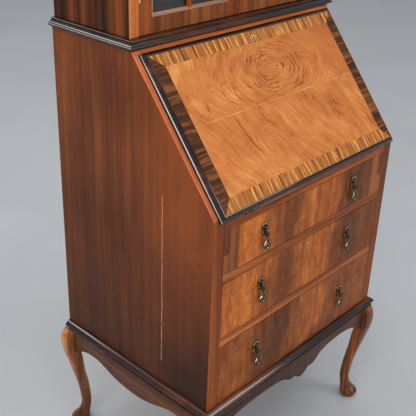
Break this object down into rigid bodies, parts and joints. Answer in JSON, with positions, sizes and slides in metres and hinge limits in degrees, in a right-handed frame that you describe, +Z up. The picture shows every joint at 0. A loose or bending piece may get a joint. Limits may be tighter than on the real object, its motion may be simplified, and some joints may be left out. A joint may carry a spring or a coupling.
{
  "type": "bureau bookcase",
  "caption": "Slope-fronted writing bureau on cabriole legs with drawers, a drop-down fall on sliding lopers, and a glazed bookcase above.",
  "frame": {"origin": "on the floor, at the middle of the footprint of the bureau's carcase", "axes": "+X to the right of someone facing the front, +Y towards the back, +Z up; the drawers and the fall are on the -Y side"},
  "size_m": [0.6478, 0.4968, 1.961],
  "materials": {
    "side_walnut": "polished dark walnut, vertical grain",
    "rail_walnut": "polished mid walnut",
    "fall_walnut": "polished burr walnut with a feather crossband",
    "front_walnut": "polished figured walnut veneer",
    "ebonised_walnut": "ebonised and polished",
    "stand_walnut": "polished dark walnut",
    "oak": "waxed oak",
    "brass": "lacquered brass",
    "antique_brass": "antiqued brass, dark in the recesses",
    "glass": "clear window glass"
  },
  "bodies": {
    "carcase": {"leg_front_right": "stand_walnut", "leg_front_left": "stand_walnut", "leg_rear_left": "stand_walnut", "leg_rear_right": "stand_walnut", "apron_front": "stand_walnut", "apron_side_right": "stand_walnut", "apron_side_left": "stand_walnut", "apron_rear": "stand_walnut", "base_moulding": "ebonised_walnut", "waist_moulding": "ebonised_walnut", "bureau_side_right": "side_walnut", "bureau_side_left": "side_walnut", "bureau_back": "oak", "bureau_bottom": "rail_walnut", "drawer_rail_lower": "rail_walnut", "drawer_rail_upper": "rail_walnut", "writing_bed": "rail_walnut", "bureau_top": "rail_walnut", "loper_housing_right": "rail_walnut", "loper_housing_left": "rail_walnut", "desk_hinge_leaf_right": "brass", "desk_hinge_leaf_left": "brass", "pigeonhole_unit": "oak", "bookcase_side_right": "side_walnut", "bookcase_side_left": "side_walnut", "bookcase_back": "oak", "bookcase_bottom": "rail_walnut", "cornice": "ebonised_walnut", "shelf_lower": "rail_walnut", "shelf_upper": "rail_walnut"},
    "fall": {"fall_panel": "fall_walnut", "fall_moulding": "ebonised_walnut", "fall_hinge_leaf_right": "brass", "fall_hinge_leaf_left": "brass"},
    "loper_left": {"loper_left": "rail_walnut"},
    "loper_right": {"loper_right": "rail_walnut"},
    "drawer_top": {"drawer_front_top": "front_walnut", "drawer_box_top": "oak", "handle_plate_top_left": "antique_brass", "handle_plate_top_right": "antique_brass"},
    "drawer_middle": {"drawer_front_middle": "front_walnut", "drawer_box_middle": "oak", "handle_plate_middle_left": "antique_brass", "handle_plate_middle_right": "antique_brass"},
    "drawer_bottom": {"drawer_front_bottom": "front_walnut", "drawer_box_bottom": "oak", "handle_plate_bottom_left": "antique_brass", "handle_plate_bottom_right": "antique_brass"},
    "drop_top_left": {"handle_drop_top_left": "antique_brass"},
    "drop_top_right": {"handle_drop_top_right": "antique_brass"},
    "drop_middle_left": {"handle_drop_middle_left": "antique_brass"},
    "drop_middle_right": {"handle_drop_middle_right": "antique_brass"},
    "drop_bottom_left": {"handle_drop_bottom_left": "antique_brass"},
    "drop_bottom_right": {"handle_drop_bottom_right": "antique_brass"},
    "inner_drawer_left": {"inner_drawer_left": "oak"},
    "inner_drawer_right": {"inner_drawer_right": "oak"},
    "door_left": {"door_left": "front_walnut", "door_glass_left": "glass"},
    "door_right": {"door_right": "front_walnut", "door_glass_right": "glass"}
  },
  "joints": [
    {"name": "fall_hinge", "type": "hinge", "parent": "carcase", "child": "fall", "pos_m": [0, -0.22989, 0.75831], "axis": [1, 0, 0], "range_deg": [0, 129.5]},
    {"name": "loper_left_slide", "type": "slide", "parent": "carcase", "child": "loper_left", "axis": [0, -1, 0], "range_m": [0, 0.25]},
    {"name": "loper_right_slide", "type": "slide", "parent": "carcase", "child": "loper_right", "axis": [0, -1, 0], "range_m": [0, 0.25]},
    {"name": "drawer_top_slide", "type": "slide", "parent": "carcase", "child": "drawer_top", "axis": [0, -1, 0], "range_m": [0, 0.3]},
    {"name": "drawer_middle_slide", "type": "slide", "parent": "carcase", "child": "drawer_middle", "axis": [0, -1, 0], "range_m": [0, 0.3]},
    {"name": "drawer_bottom_slide", "type": "slide", "parent": "carcase", "child": "drawer_bottom", "axis": [0, -1, 0], "range_m": [0, 0.3]},
    {"name": "drop_top_left_swing", "type": "hinge", "parent": "drawer_top", "child": "drop_top_left", "pos_m": [-0.156, -0.2385, 0.6905], "axis": [-1, 0, 0], "range_deg": [0, 80]},
    {"name": "drop_top_right_swing", "type": "hinge", "parent": "drawer_top", "child": "drop_top_right", "pos_m": [0.156, -0.2385, 0.6905], "axis": [-1, 0, 0], "range_deg": [0, 80]},
    {"name": "drop_middle_left_swing", "type": "hinge", "parent": "drawer_middle", "child": "drop_middle_left", "pos_m": [-0.156, -0.2385, 0.5625], "axis": [-1, 0, 0], "range_deg": [0, 80]},
    {"name": "drop_middle_right_swing", "type": "hinge", "parent": "drawer_middle", "child": "drop_middle_right", "pos_m": [0.156, -0.2385, 0.5625], "axis": [-1, 0, 0], "range_deg": [0, 80]},
    {"name": "drop_bottom_left_swing", "type": "hinge", "parent": "drawer_bottom", "child": "drop_bottom_left", "pos_m": [-0.156, -0.2385, 0.4005], "axis": [-1, 0, 0], "range_deg": [0, 80]},
    {"name": "drop_bottom_right_swing", "type": "hinge", "parent": "drawer_bottom", "child": "drop_bottom_right", "pos_m": [0.156, -0.2385, 0.4005], "axis": [-1, 0, 0], "range_deg": [0, 80]},
    {"name": "inner_drawer_left_slide", "type": "slide", "parent": "carcase", "child": "inner_drawer_left", "axis": [0, -1, 0], "range_m": [0, 0.12]},
    {"name": "inner_drawer_right_slide", "type": "slide", "parent": "carcase", "child": "inner_drawer_right", "axis": [0, -1, 0], "range_m": [0, 0.12]},
    {"name": "door_left_hinge", "type": "hinge", "parent": "carcase", "child": "door_left", "pos_m": [-0.2755, 0.0021, 1.4675], "axis": [0, 0, -1], "range_deg": [0, 110]},
    {"name": "door_right_hinge", "type": "hinge", "parent": "carcase", "child": "door_right", "pos_m": [0.2755, 0.0021, 1.4675], "axis": [0, 0, 1], "range_deg": [0, 110]}
  ]
}
